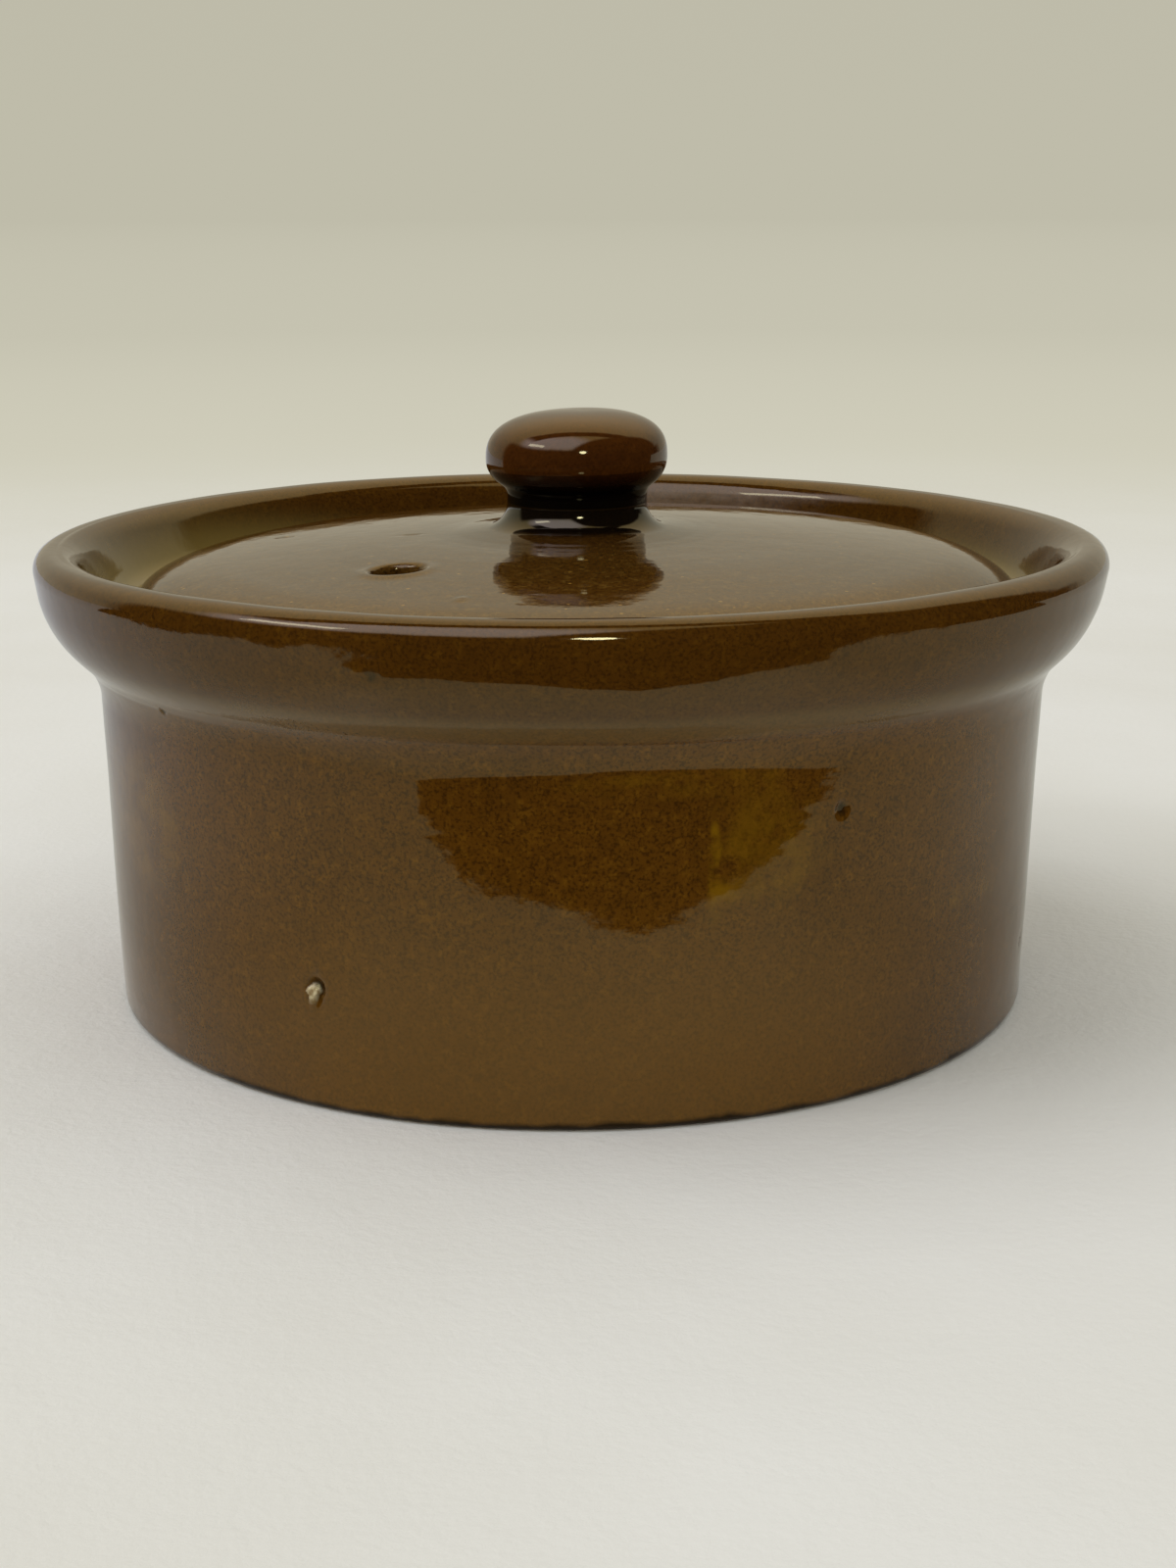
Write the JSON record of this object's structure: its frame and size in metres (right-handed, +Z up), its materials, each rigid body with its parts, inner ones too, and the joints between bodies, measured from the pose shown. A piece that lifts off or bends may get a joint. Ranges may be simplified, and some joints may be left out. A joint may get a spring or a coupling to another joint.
{
  "type": "lidded casserole dish",
  "caption": "Round glazed stoneware casserole dish with a flared collar, and a loose domed lid with a round knob and a steam vent that sits in a gallery inside the rim.",
  "frame": {"origin": "middle of the foot, on the table", "axes": "+Z up along the axis of the dish, -Y towards the viewer of the picture, +X to that viewer's right"},
  "size_m": [0.1398, 0.1398, 0.0766],
  "materials": {
    "dish_glaze": "gloss",
    "lid_glaze": "gloss",
    "knob_glaze": "gloss"
  },
  "bodies": {
    "dish_body": {"dish": "dish_glaze"},
    "lid_body": {"lid": "lid_glaze", "lid_knob": "knob_glaze"}
  },
  "joints": [
    {"name": "lid_lift", "type": "slide", "parent": "dish_body", "child": "lid_body", "axis": [0, 0, 1], "range_m": [0, 0.12]}
  ]
}
